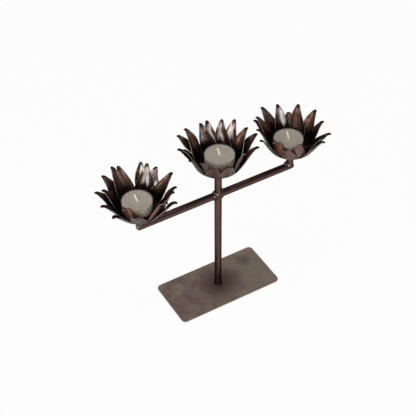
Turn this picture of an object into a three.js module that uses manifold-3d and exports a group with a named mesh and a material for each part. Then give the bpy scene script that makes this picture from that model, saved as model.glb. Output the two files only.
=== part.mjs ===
// Table-top candle holder: a welded frame of round bar on a flat base plate carries three
// flowers of bent sheet steel, and each flower holds a loose tealight.
// Millimetres, +Z up. Origin: centre of the base plate's underside. X runs along the crossbar.

import * as THREE from 'three';
import { mergeVertices } from 'three/addons/utils/BufferGeometryUtils.js';
import Module from 'manifold-3d';

const wasm = await Module();
wasm.setup();

// ---------------------------------------------------------------- driving dimensions

// Base plate
const plateLength = 150;
const plateWidth = 75;
const plateThickness = 2;
const plateCornerRadius = 6;

// Round bar frame
const rodDiameter = 9.5;
const crossbarHeight = 165; // crossbar axis above the table
const leftReach = 116.4; // post axis to the end of the left arm
const rightReach = 113.3;
const armEndRound = 3.8; // the arms' free ends are ground round
const riserSetback = 0.8; // outer side of a riser behind the end of its arm
const leftFlowerRise = 25.6; // underside of each flower above the crossbar's axis
const centreFlowerRise = 47.2;
const rightFlowerRise = 29.2;

// Weld beads
const footWeldLeg = 1.4;
const flowerWeldLeg = 2.4;
const cornerBeadRadius = 2.4; // beads in the corners where two bars meet
const cornerBeadSweep = 65; // degrees to each side of the corner's middle
const filletBelly = 0.45; // share of its leg that a fillet is thick at its middle

// Sheet flowers
const sheetThickness = 0.8;
const hubRadius = 17; // flat middle of the inner whorl
const hubHoleRadius = 3; // plug weld hole
const outerHubExtra = 0.8; // how far the outer whorl's flat runs past the inner one's
const innerBendRadius = 12.5;
const outerBendExtra = 2;
const rootSlit = 1; // cut between the roots of two petals
const petalLength = 47; // hub's edge to tip; the table below adds to it petal by petal
const petalWidth = 19.5;
const petalTipWidth = 2.4;
const petalWidest = 0.3; // share of the length where a petal starts to narrow
const petalChannelDepth = 1.6; // how far a petal's edges stand proud of its middle
const channelRise = [0.2, 0.6]; // shares of the length where the channel deepens
const channelFade = [0.7, 1]; // and where it flattens out again
const petalTwist = [0.1, 0.75]; // where a petal swings from its root to its tip's direction
const tipCurlRadius = 3.4; // unless the table below gives a petal its own
const tipCurlAngle = 80;

// Tealight
const cupDiameter = 38.5;
const cupHeight = 16;
const cupWall = 0.6;
const cupFootInset = 2.2; // the foot's edge is rounded in by this much
const cupFootRise = 3.5; // and over this height
const waxDrop = 0.6; // wax surface below the rim
const waxDish = 0.3;
const waxDishShare = 0.7; // of the wax's radius that is dished
const wickDiameter = 1.8;
const wickExposed = 9.5;
const wickLean = 3; // sideways reach of the wick's tip
const wickSag = 0.45; // share of that reach at half the wick's height
const tabDiameter = 12; // metal foot that holds the wick
const tabThickness = 0.5;

// Clearances
const seatGap = 0.05; // paint film between flat faces
const weldGap = 0.3; // around coped bar ends and weld beads
const waxGap = 0.15;

// Mesh fineness
const plateCornerSteps = 6;
const rodSides = 24;
const endRoundSteps = 3;
const beadSteps = 7;
const beadSides = 6;
const plugSides = 12;
const bendRows = 3;
const straightRows = 3;
const curlRows = 2;
const petalColumns = 3;
const cupSides = 28;
const tabSides = 24;
const wickSides = 8;
const wickSteps = 6;

// Hand-bent petals of each flower, in turn round the flower: the direction of the tip from +X
// and the lean of its straight stretch above the table, both in degrees, how much longer it is
// than petalLength, and where needed the radius of its curl. rootTurn is the direction of the
// first petal's root.
const flowers = {
  left: {
    inner: {
      rootTurn: 12,
      petals: [
        [6, 54, 2.5], [47, 64, 2], [102, 58, 5.5], [149, 64, -3],
        [181, 51, -0.5], [219, 76, 6, 10], [292, 70, 3, 8], [325, 63, -3],
      ],
    },
    outer: {
      rootTurn: -32,
      petals: [
        [-24, 63, -0.5], [36, 50, -0.5], [58, 56, 2.5], [90, 51, 2.5], [117, 50, 2.5],
        [150, 51, 0.5], [205, 50, -3.5], [238, 59, -1], [306, 53, 0.5],
      ],
    },
  },
  centre: {
    inner: {
      rootTurn: -6,
      petals: [
        [8, 61, 2], [53, 66, 2], [90, 66, 1], [115, 56, 3.5],
        [163, 63, -2], [211, 67, 0], [252, 67, -4], [297, 75, -0.5],
      ],
    },
    outer: {
      rootTurn: -56,
      petals: [
        [-34, 56, 0.5], [-3, 47, 2.5], [35, 56, 4.5], [76, 58, 1.5], [127, 49, 3.5],
        [157, 56, 0.5], [189, 64, -1], [231, 63, 0], [259, 64, 0],
      ],
    },
  },
  right: {
    inner: {
      rootTurn: -11,
      petals: [
        [-19, 69, -1], [46, 56, 0.5], [81, 63, 2], [129, 60, 3],
        [157, 62, -0.5], [206, 75, 6, 10], [251, 72, 0], [301, 61, -2],
      ],
    },
    outer: {
      rootTurn: 10,
      petals: [
        [18, 54, 0.5], [60, 30, -7], [100, 47, 5.5], [132, 57, 1.5],
        [182, 59, 0.5], [228, 61, 0.5], [293, 58, 0.5], [316, 56, 0.5],
      ],
    },
  },
};

const steepestLean = Math.max(
  ...Object.values(flowers).flatMap(({ inner }) => inner.petals.map(([, lean]) => lean)));

// Where each loose candle lies off its flower's axis, and which way its wick leans
const candlePlaces = {
  left: { offset: [-2, 0.5], wickTurn: 150 },
  centre: { offset: [2.4, 0.6], wickTurn: 140 },
  right: { offset: [-4.2, 0], wickTurn: 110 },
};

// ---------------------------------------------------------------- derived sizes

const rodRadius = rodDiameter / 2;
const gripRadius = rodRadius + weldGap; // anything that fits round a bar
const whorlPitch = sheetThickness + seatGap;
const cupRadius = cupDiameter / 2;
const flowerStands = {
  left: { x: rodRadius + riserSetback - leftReach, height: crossbarHeight + leftFlowerRise },
  centre: { x: 0, height: crossbarHeight + centreFlowerRise },
  right: { x: rightReach - riserSetback - rodRadius, height: crossbarHeight + rightFlowerRise },
};

// ---------------------------------------------------------------- materials

const finish = (name, color, roughness, metalness) =>
  new THREE.MeshStandardMaterial({ name, color, roughness, metalness });
const barSteel = () => finish('lacquered_bar', 0x5d4740, 0.45, 0.8);
const plateSteel = () => finish('lacquered_plate', 0x5f554d, 0.5, 0.75);
const weldSteel = () => finish('weld_bead', 0x463b36, 0.6, 0.7);
const petalSteel = () => finish('heat_coloured_sheet', 0x6a4a3c, 0.35, 0.85);
const clearCup = () => finish('clear_cup', 0xd8d2c4, 0.15, 0);
const wax = () => finish('wax', 0xd6cdbb, 0.5, 0);
const cotton = () => finish('cotton_wick', 0xe8dcb4, 0.9, 0);
const tinned = () => finish('tinned_tab', 0xb4b4b4, 0.3, 1);

// ---------------------------------------------------------------- geometry helpers

const radians = THREE.MathUtils.degToRad;
const smooth = THREE.MathUtils.smoothstep;

function toSolid(geometry) {
  const bare = geometry.clone();
  bare.deleteAttribute('normal');
  bare.deleteAttribute('uv');
  const merged = mergeVertices(bare, 1e-4);
  return new wasm.Manifold(new wasm.Mesh({
    numProp: 3,
    vertProperties: merged.attributes.position.array,
    triVerts: new Uint32Array(merged.index.array),
  }));
}

function toGeometry(solid) {
  const mesh = solid.getMesh();
  const geometry = new THREE.BufferGeometry();
  geometry.setAttribute('position', new THREE.BufferAttribute(mesh.vertProperties, 3));
  geometry.setIndex(new THREE.BufferAttribute(mesh.triVerts, 1));
  geometry.computeVertexNormals();
  return geometry;
}

const cut = (geometry, ...tools) =>
  toGeometry(tools.reduce((solid, tool) => solid.subtract(toSolid(tool)), toSolid(geometry)));

// A closed or on-axis profile of [radius, height] points turned round +Z
function turned(profile, sides) {
  const points = profile.map(([radius, height]) => new THREE.Vector2(radius, height));
  return new THREE.LatheGeometry(points, sides).rotateX(Math.PI / 2);
}

// Round bar along +Z from one height to another
const uprightBar = (x, from, to, radius = rodRadius) =>
  new THREE.CylinderGeometry(radius, radius, to - from, rodSides)
    .rotateX(Math.PI / 2)
    .translate(x, 0, (from + to) / 2);

// Round bar along X at the crossbar's height
const levelBar = (from, to, radius = rodRadius) =>
  new THREE.CylinderGeometry(radius, radius, to - from, rodSides)
    .rotateZ(Math.PI / 2)
    .translate((from + to) / 2, 0, crossbarHeight);

function tubeAlong(curve, radius, sides, steps) {
  const section = new THREE.Shape();
  section.absarc(0, 0, radius, 0, 2 * Math.PI);
  section.autoClose = true;
  const options = { extrudePath: curve, steps, curveSegments: sides, bevelEnabled: false };
  return new THREE.ExtrudeGeometry(section, options);
}

// A sheet of even thickness from its middle surface: points, unit normals and triangles
function thicken(points, normals, triangles, thickness) {
  const count = points.length;
  const position = [];
  for (const side of [0.5, -0.5]) {
    points.forEach((point, i) => {
      const moved = point.clone().addScaledVector(normals[i], side * thickness);
      position.push(moved.x, moved.y, moved.z);
    });
  }
  const index = [];
  const openEdges = new Map();
  for (const [a, b, c] of triangles) {
    index.push(a, b, c, a + count, c + count, b + count);
    for (const [from, to] of [[a, b], [b, c], [c, a]]) {
      if (!openEdges.delete(`${to},${from}`)) openEdges.set(`${from},${to}`, [from, to]);
    }
  }
  for (const [from, to] of openEdges.values()) {
    index.push(from, from + count, to + count, from, to + count, to);
  }
  const geometry = new THREE.BufferGeometry();
  geometry.setAttribute('position', new THREE.Float32BufferAttribute(position, 3));
  geometry.setIndex(index);
  geometry.computeVertexNormals();
  return geometry;
}

// ---------------------------------------------------------------- base and frame

function basePlateGeometry() {
  const outline = new THREE.Shape();
  const x = plateLength / 2 - plateCornerRadius;
  const y = plateWidth / 2 - plateCornerRadius;
  const quarter = Math.PI / 2;
  [[x, y], [-x, y], [-x, -y], [x, -y]].forEach(([cx, cy], corner) => {
    outline.absarc(cx, cy, plateCornerRadius, corner * quarter, (corner + 1) * quarter);
  });
  outline.closePath();
  const options = { depth: plateThickness, bevelEnabled: false, curveSegments: plateCornerSteps };
  return new THREE.ExtrudeGeometry(outline, options);
}

// An arm runs from its rounded free end to the post, where it is coped to the post's round
function armGeometry(reach, side) {
  const profile = [[0, 0], [rodRadius, 0]];
  for (let i = 0; i <= endRoundSteps; i++) {
    const turn = (Math.PI / 2) * (i / endRoundSteps);
    profile.push([
      rodRadius - armEndRound * (1 - Math.cos(turn)),
      reach - armEndRound * (1 - Math.sin(turn)),
    ]);
  }
  profile.push([0, reach]);
  const bar = turned(profile, rodSides)
    .rotateY(side * Math.PI / 2)
    .translate(0, 0, crossbarHeight);
  const postRoom = uprightBar(0, 0, crossbarHeight * 2, gripRadius);
  return cut(bar, postRoom);
}

// A riser stands on an arm, close to its end, and is coped to the arm's round
function riserGeometry({ x, height }) {
  const bar = uprightBar(x, crossbarHeight, height - seatGap);
  const armRoom = levelBar(x - rodDiameter, x + rodDiameter, gripRadius);
  return cut(bar, armRoom);
}

// Weld bead in the saddle-shaped corner between the crossbar and an upright at x,
// on the upright's +X or -X side and above or below the crossbar
class SaddleCurve extends THREE.Curve {
  constructor(x, side, up) {
    super();
    Object.assign(this, { x, side, up });
  }

  getPoint(t, target = new THREE.Vector3()) {
    const turn = radians(90 + cornerBeadSweep * (2 * t - 1));
    const reach = rodRadius * Math.sin(turn);
    return target.set(
      this.x + this.side * reach,
      rodRadius * Math.cos(turn),
      crossbarHeight + this.up * reach,
    );
  }
}

function cornerBeadGeometry(x, side, up) {
  const bead = tubeAlong(new SaddleCurve(x, side, up), cornerBeadRadius, beadSides, beadSteps);
  const far = 2 * (rodRadius + cornerBeadRadius);
  const uprightRoom = uprightBar(x, crossbarHeight - far, crossbarHeight + far, gripRadius);
  const barRoom = levelBar(x - far, x + far, gripRadius);
  return cut(bead, uprightRoom, barRoom);
}

// Ring of weld in the corner between a bar and a flat face; up is +1 on top of the face
function ringBeadGeometry(leg, up) {
  const belly = leg * filletBelly;
  const start = up * seatGap;
  const profile = [
    [gripRadius, start],
    [gripRadius + leg, start],
    [gripRadius + belly, start + up * belly],
    [gripRadius, start + up * leg],
    [gripRadius, start],
  ];
  return turned(up > 0 ? profile : profile.reverse(), rodSides);
}

// ---------------------------------------------------------------- flowers

// Half of a petal's width at a share of its length. Near the root it fills its part of the
// circle but for a slit, further up it keeps its full width, and then it narrows like a leaf.
function petalHalfWidth(share, radius, petalCount) {
  const room = 2 * radius * Math.sin(Math.PI / petalCount) - rootSlit;
  const taper = Math.max(0, share - petalWidest) / (1 - petalWidest);
  const leaf = THREE.MathUtils.lerp(petalTipWidth, petalWidth, Math.cos(taper * Math.PI / 2));
  return Math.min(room, leaf) / 2;
}

// The middle line of a petal in its own upright plane: flat hub, bend up, straight, curl out
function petalLine(along, whorl, lean, length, curlRadius) {
  const bendLength = whorl.bendRadius * lean;
  const straightEnd = length - curlRadius * radians(tipCurlAngle);
  const bend = Math.min(along / whorl.bendRadius, lean);
  const straight = THREE.MathUtils.clamp(along, bendLength, straightEnd) - bendLength;
  const curl = Math.max(0, along - straightEnd) / curlRadius;
  const slope = bend - curl;
  const radius = whorl.hubRadius + whorl.bendRadius * Math.sin(bend)
    + straight * Math.cos(lean) + curlRadius * (Math.sin(lean) - Math.sin(lean - curl));
  const height = whorl.bendRadius * (1 - Math.cos(bend)) + straight * Math.sin(lean)
    + curlRadius * (Math.cos(lean - curl) - Math.cos(lean));
  return { radius, height, slope };
}

// A point of a petal's middle surface; across runs from -1 to 1
function petalPoint(along, across, whorl, root, petal) {
  const [tipTurn, leanDegrees, extraLength, curlRadius = tipCurlRadius] = petal;
  const length = petalLength + extraLength;
  const share = along / length;
  const line = petalLine(along, whorl, radians(leanDegrees), length, curlRadius);
  const turn = radians(THREE.MathUtils.lerp(root.turn, tipTurn, smooth(share, ...petalTwist)));
  const sideways = across * petalHalfWidth(share, line.radius, root.petalCount);
  const roundness = line.radius - Math.sqrt(line.radius ** 2 - sideways ** 2);
  const channelling = smooth(share, ...channelRise) * (1 - smooth(share, ...channelFade));
  const channel = petalChannelDepth * across ** 2 * channelling;
  const outward = line.radius - roundness - channel * Math.sin(line.slope);
  return new THREE.Vector3(
    outward * Math.cos(turn) - sideways * Math.sin(turn),
    outward * Math.sin(turn) + sideways * Math.cos(turn),
    whorl.midHeight + line.height + channel * Math.cos(line.slope),
  );
}

function petalNormal(along, across, ...rest) {
  const step = 0.02;
  const lengthwise = petalPoint(along + step, across, ...rest)
    .sub(petalPoint(along - step, across, ...rest));
  const crosswise = petalPoint(along, across + step, ...rest)
    .sub(petalPoint(along, across - step, ...rest));
  return lengthwise.cross(crosswise).normalize();
}

// Where the rows of a petal's mesh lie along it: close in the bend and in the curl
function petalStations(whorl, [, leanDegrees, extraLength, curlRadius = tipCurlRadius]) {
  const length = petalLength + extraLength;
  const bendEnd = whorl.bendRadius * radians(leanDegrees);
  const curlStart = length - curlRadius * radians(tipCurlAngle);
  const stretches = [[0, bendEnd, bendRows], [bendEnd, curlStart, straightRows],
    [curlStart, length, curlRows]];
  const stations = stretches.flatMap(([from, to, rows]) =>
    Array.from({ length: rows }, (_, i) => from + (to - from) * (i / rows)));
  return [...stations, length];
}

// One blank: a flat hub with a hole, and petals bent up all round it
function whorlGeometry(whorl, { rootTurn, petals }) {
  const points = [];
  const normals = [];
  const triangles = [];
  const up = new THREE.Vector3(0, 0, 1);
  const add = (point, normal) => {
    points.push(point);
    normals.push(normal);
    return points.length - 1;
  };
  const join = (a, b, c, d) => triangles.push([a, b, c], [a, c, d]);

  const rim = [];
  const hole = [];
  petals.forEach((petal, k) => {
    const root = { turn: rootTurn + (360 / petals.length) * k, petalCount: petals.length };
    let lastRow = null;
    for (const along of petalStations(whorl, petal)) {
      const thisRow = [];
      for (let column = 0; column <= petalColumns; column++) {
        const across = 2 * (column / petalColumns) - 1;
        const place = petalPoint(along, across, whorl, root, petal);
        const normal = lastRow === null ? up : petalNormal(along, across, whorl, root, petal);
        thisRow.push(add(place, normal));
      }
      if (lastRow) {
        for (let i = 0; i < petalColumns; i++) {
          join(lastRow[i], thisRow[i], thisRow[i + 1], lastRow[i + 1]);
        }
      } else {
        rim.push(...thisRow);
      }
      lastRow = thisRow;
    }
  });
  const shrink = hubHoleRadius / whorl.hubRadius;
  for (const i of rim) {
    const { x, y, z } = points[i];
    hole.push(add(new THREE.Vector3(x * shrink, y * shrink, z), up));
  }
  rim.forEach((_, i) => {
    const next = (i + 1) % rim.length;
    join(hole[i], rim[i], rim[next], hole[next]);
  });
  return thicken(points, normals, triangles, sheetThickness);
}

const outerWhorl = {
  hubRadius: hubRadius + outerHubExtra,
  bendRadius: innerBendRadius + outerBendExtra,
  midHeight: sheetThickness / 2,
};
const innerWhorl = {
  hubRadius,
  bendRadius: innerBendRadius,
  midHeight: whorlPitch + sheetThickness / 2,
};

// Weld through the holes of both blanks down to the end of the bar
function plugWeldGeometry() {
  const radius = hubHoleRadius - weldGap;
  const shoulder = whorlPitch + sheetThickness / 2;
  const crown = whorlPitch + sheetThickness;
  return turned([[0, 0], [radius, 0], [radius, shoulder], [0, crown]], plugSides);
}

// ---------------------------------------------------------------- tealight

// The rounded edge of the foot, from the flat underside out to the upright wall
function footRound(radius, floor) {
  const share = 1 - Math.SQRT1_2;
  return [
    [radius - cupFootInset, floor],
    [radius - cupFootInset * share, floor + cupFootRise * share],
    [radius, floor + cupFootRise],
  ];
}

function cupGeometry() {
  const bore = cupRadius - cupWall;
  return turned([
    [0, 0], ...footRound(cupRadius, 0), [cupRadius, cupHeight],
    [bore, cupHeight], ...footRound(bore, cupWall).reverse(), [0, cupWall],
  ], cupSides);
}

const tabTop = cupWall + seatGap + tabThickness;
const wickRoom = wickDiameter / 2 + waxGap;

// Wax with a wick hole, a dished top and a recess below for the wick's foot
function waxGeometry() {
  const radius = cupRadius - cupWall - waxGap;
  const floor = cupWall + waxGap;
  const top = cupHeight - waxDrop;
  const recess = tabDiameter / 2 + waxGap;
  return turned([
    [wickRoom, tabTop + waxGap], [recess, tabTop + waxGap], [recess, floor],
    ...footRound(radius, floor),
    [radius, top], [radius * waxDishShare, top - waxDish], [wickRoom, top - waxDish],
    [wickRoom, tabTop + waxGap],
  ], cupSides);
}

function tabGeometry() {
  const floor = cupWall + seatGap;
  return turned([[0, floor], [tabDiameter / 2, floor], [tabDiameter / 2, tabTop], [0, tabTop]], tabSides);
}

function wickGeometry(turn) {
  const out = new THREE.Vector3(Math.cos(turn), Math.sin(turn), 0);
  const surface = cupHeight - waxDrop;
  const at = (reach, height) => out.clone().multiplyScalar(reach).setZ(height);
  const curve = new THREE.CatmullRomCurve3([
    at(0, tabTop + seatGap),
    at(0, surface / 2),
    at(0, surface),
    at(wickLean * wickSag, surface + wickExposed / 2),
    at(wickLean, surface + wickExposed),
  ]);
  return tubeAlong(curve, wickDiameter / 2, wickSides, wickSteps);
}

// How far a candle's foot is lifted by the bend when it lies off its flower's axis. The
// bend's facets stand a little inside its true round, most on the steepest petal.
function seatRise([x, y]) {
  const bend = innerBendRadius - sheetThickness / 2;
  const past = Math.max(0, Math.hypot(x, y) + cupRadius - cupFootInset - hubRadius);
  const facetTurn = radians(steepestLean) / bendRows;
  return bend - Math.sqrt(bend ** 2 - past ** 2) + bend * (1 - Math.cos(facetTurn / 2));
}

// ---------------------------------------------------------------- assembly

const stand = new THREE.Group();

function piece(parent, name, geometry, material, place = [0, 0, 0]) {
  const mesh = new THREE.Mesh(geometry, material);
  mesh.name = name;
  mesh.position.set(...place);
  parent.add(mesh);
}

piece(stand, 'base_plate', basePlateGeometry(), plateSteel());
piece(stand, 'post',
  uprightBar(0, plateThickness + seatGap, flowerStands.centre.height - seatGap), barSteel());
piece(stand, 'post_foot_weld', ringBeadGeometry(footWeldLeg, 1), weldSteel(), [0, 0, plateThickness]);
piece(stand, 'left_arm', armGeometry(leftReach, -1), barSteel());
piece(stand, 'right_arm', armGeometry(rightReach, 1), barSteel());

for (const [name, side] of [['left', -1], ['right', 1]]) {
  const place = flowerStands[name];
  piece(stand, `${name}_riser`, riserGeometry(place), barSteel());
  piece(stand, `${name}_riser_weld`, cornerBeadGeometry(place.x, -side, 1), weldSteel());
  piece(stand, `${name}_arm_upper_weld`, cornerBeadGeometry(0, side, 1), weldSteel());
  piece(stand, `${name}_arm_lower_weld`, cornerBeadGeometry(0, side, -1), weldSteel());
}

for (const [name, place] of Object.entries(flowerStands)) {
  const flower = new THREE.Group();
  flower.position.set(place.x, 0, place.height);
  piece(flower, `${name}_flower_weld`, ringBeadGeometry(flowerWeldLeg, -1), weldSteel());
  piece(flower, `${name}_outer_petals`, whorlGeometry(outerWhorl, flowers[name].outer), petalSteel());
  piece(flower, `${name}_inner_petals`, whorlGeometry(innerWhorl, flowers[name].inner), petalSteel());
  piece(flower, `${name}_plug_weld`, plugWeldGeometry(), weldSteel());

  const { offset, wickTurn } = candlePlaces[name];
  const candle = new THREE.Group();
  candle.position.set(...offset, whorlPitch * 2 + seatGap + seatRise(offset));
  piece(candle, `${name}_candle_cup`, cupGeometry(), clearCup());
  piece(candle, `${name}_wick_tab`, tabGeometry(), tinned());
  piece(candle, `${name}_wax`, waxGeometry(), wax());
  piece(candle, `${name}_wick`, wickGeometry(radians(wickTurn)), cotton());
  flower.add(candle);
  stand.add(flower);
}

export default stand;
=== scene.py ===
"""Table-top candle holder: a welded cross of round bar on a flat plate carries three flowers
of bent sheet steel, each with a loose tealight. Lengths below are in millimetres."""

import math
from collections import namedtuple
from functools import cached_property, reduce

import bmesh
import bpy
import numpy as np
from mathutils import Matrix, Vector, noise


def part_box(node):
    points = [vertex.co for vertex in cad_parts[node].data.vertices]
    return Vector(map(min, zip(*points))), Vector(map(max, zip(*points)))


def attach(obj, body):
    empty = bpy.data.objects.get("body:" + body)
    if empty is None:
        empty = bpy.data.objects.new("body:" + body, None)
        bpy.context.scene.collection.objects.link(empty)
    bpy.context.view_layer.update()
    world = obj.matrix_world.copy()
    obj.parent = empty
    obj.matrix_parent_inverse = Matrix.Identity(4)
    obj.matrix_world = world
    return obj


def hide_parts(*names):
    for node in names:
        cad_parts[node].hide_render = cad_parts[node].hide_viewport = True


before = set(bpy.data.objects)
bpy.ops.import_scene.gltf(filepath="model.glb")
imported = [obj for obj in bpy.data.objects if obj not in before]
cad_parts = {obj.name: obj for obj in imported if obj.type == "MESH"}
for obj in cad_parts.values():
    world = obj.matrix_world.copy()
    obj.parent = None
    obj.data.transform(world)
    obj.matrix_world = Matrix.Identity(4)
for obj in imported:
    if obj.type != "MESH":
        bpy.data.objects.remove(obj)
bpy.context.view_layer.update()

MM = 0.001
SIDES = ("left", "centre", "right")

# -------------------- sizes, as in the solids

PLATE_CORNER = 6
BAR_RADIUS = 4.75
CROSSBAR_HEIGHT = 165
ARM_END_ROUND = 3.8
FOOT_WELD_LEG = 1.4
FLOWER_WELD_LEG = 2.4
CORNER_BEAD_RADIUS = 2.4
CORNER_BEAD_SWEEP = math.radians(65)

SHEET = 0.8
SHEET_PITCH = 0.85
HUB_HOLE_RADIUS = 3
ROOT_SLIT = 1
PETAL_WIDTH = 19.5
PETAL_TIP_WIDTH = 2.4
PETAL_WIDEST = 0.3
CHANNEL_DEPTH = 1.6
TIP_CURL_RADIUS = 3.4
TIP_CURL_TURN = math.radians(80)

# The middle height is that of the sheet's middle surface above the flower's underside
Whorl = namedtuple("Whorl", "hub_radius bend_radius middle_height")
WHORLS = {
    "outer": Whorl(17.8, 14.5, SHEET / 2),
    "inner": Whorl(17.0, 12.5, SHEET_PITCH + SHEET / 2),
}

# Turns and leans are in degrees. The fourth number is how much bright steel a petal shows, and it also
# sets the petal's painted light: the painted highlights inside, and how dark or light its outside is
# painted.
Petal = namedtuple("Petal", "tip_turn lean length bareness curl_radius", defaults=[TIP_CURL_RADIUS])

# Per whorl: direction of the first root, and the petals in turn
FLOWERS = {
    "left": {
        "inner": (12, [
            (6, 54, 49.5, 0.15), (47, 64, 49, 1), (102, 58, 52.5, 0.2), (149, 64, 44, 0.1),
            (181, 51, 46.5, 0.1), (219, 76, 53, 0.3, 10), (292, 70, 50, 0.35, 8), (325, 63, 44, 0.1),
        ]),
        "outer": (-32, [
            (-24, 63, 46.5, 0.15), (36, 50, 46.5, 1.3), (58, 56, 49.5, 1), (90, 51, 49.5, 0.25),
            (117, 50, 49.5, 0.3), (150, 51, 47.5, 0.2), (205, 50, 43.5, 0.55), (238, 59, 46, 0.7),
            (306, 53, 47.5, 0.6),
        ]),
    },
    "centre": {
        "inner": (-6, [
            (8, 61, 49, 0.2), (53, 66, 49, 0.65), (90, 66, 48, 0.7), (115, 56, 50.5, 0.2),
            (163, 63, 45, 0.15), (211, 67, 47, 0.5), (252, 67, 43, 0.45), (297, 75, 46.5, 0.4),
        ]),
        "outer": (-56, [
            (-34, 56, 47.5, 0.2), (-3, 47, 49.5, 0.25), (35, 56, 51.5, 0.75), (76, 58, 48.5, 0.75),
            (127, 49, 50.5, 0.3), (157, 56, 47.5, 0.15), (189, 64, 46, 0.15), (231, 63, 47, 0.5),
            (259, 64, 47, 0.6),
        ]),
    },
    "right": {
        "inner": (-11, [
            (-19, 69, 46, 0.15), (46, 56, 47.5, 0), (81, 63, 49, 1.25), (129, 60, 50, 0.2),
            (157, 62, 46.5, 0.1), (206, 75, 53, 0.35, 10), (251, 72, 47, 0.8), (301, 61, 45, 0.3),
        ]),
        "outer": (10, [
            (18, 54, 47.5, 0.15), (60, 30, 40, 0.05), (100, 47, 52.5, 0.35), (132, 57, 48.5, 0.15),
            (182, 59, 47.5, 0.1), (228, 61, 47.5, 0.7), (293, 58, 47.5, 0.5), (316, 56, 47.5, 0.3),
        ]),
    },
}

CUP_RADIUS = 19.25
CUP_HEIGHT = 16
CUP_WALL = 0.6
CUP_FOOT_INSET = 2.2
CUP_FOOT_RISE = 3.5
WAX_GAP = 0.15
WAX_TOP = 15.4
TAB_RADIUS = 6
TAB_TOP = 1.15
WICK_TOP = WAX_TOP + 9.5
WICK_TIP_SHIFT = 3
WICK_TURNS = {"left": 150, "centre": 140, "right": 110}

# -------------------- sizes of the finer work

PLATE_BEVEL = 0.35
PLATE_UNEVENNESS = 0.12
BAR_UNEVENNESS = 0.045
RIM_BULGE = 0.16
DENT_DEPTH = 0.4
DENT_SIZE = 11
OUTSIDE_STREAKS = (0, 90, 0)
WICK_TWIST = 3.6
STRAND_RADIUS = 0.62
STRAND_OFFSET = 0.52

# Colour from the heat of welding: how far it is full round a weld, and how it fades beyond
HEAT_CORE = 4
HEAT_FADE = 9

# Bright drops beside the welds, set where glints show; their near-white colour is partly a painted
# glint: name, place, outward direction and radius
SPATTER_DROPS = [
    ("crossing_drop_upper", (-3.87, -4.7, 170.38), (-0.1, -0.77, 0.63), 1.1),
    ("crossing_drop_lower", (-7.3, -3.86, 167.77), (-0.1, -0.81, 0.58), 0.8),
    ("riser_drop_upper", (104.18, -0.91, 172.88), (0.1, -0.4, 0.9), 0.8),
    ("riser_drop_lower", (103.05, -4.85, 170.88), (-0.2, -0.78, 0.59), 1.2),
]

# -------------------- places, from the frame


def node_centre(node):
    """Middle of a CAD node in X and Y, and its lowest point, in millimetres."""
    low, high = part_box(node)
    middle = (low + high) / 2
    return np.array((middle.x, middle.y, low.z)) / MM


FLOWER_PLACES = {side: node_centre(f"{side}_plug_weld") for side in SIDES}
CANDLE_PLACES = {side: node_centre(f"{side}_candle_cup") for side in SIDES}
PLATE_REACH = np.array(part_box("base_plate")[1]) / MM
PLATE_TOP = PLATE_REACH[2]

# Where the welding torch was: the metal round these points is heat coloured
WELD_POINTS = np.array([
    (0, 0, PLATE_TOP),
    (0, 0, CROSSBAR_HEIGHT),
    (FLOWER_PLACES["left"][0], 0, CROSSBAR_HEIGHT),
    (FLOWER_PLACES["right"][0], 0, CROSSBAR_HEIGHT),
    *FLOWER_PLACES.values(),
])


def smooth(value, low, high):
    """0 up to low, 1 from high on, and a soft step between them."""
    t = np.clip((value - low) / (high - low), 0, 1)
    return t * t * (3 - 2 * t)


def ripple(points, size, seed=0.0):
    """Smooth noise from -1 to 1 at each point, with bumps of about the given size."""
    offset = Vector((seed * 7.3, seed * 3.1, seed * 5.7))
    return np.array([noise.noise(Vector(p) / size + offset) for p in points])


# -------------------- shader nodes


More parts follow.
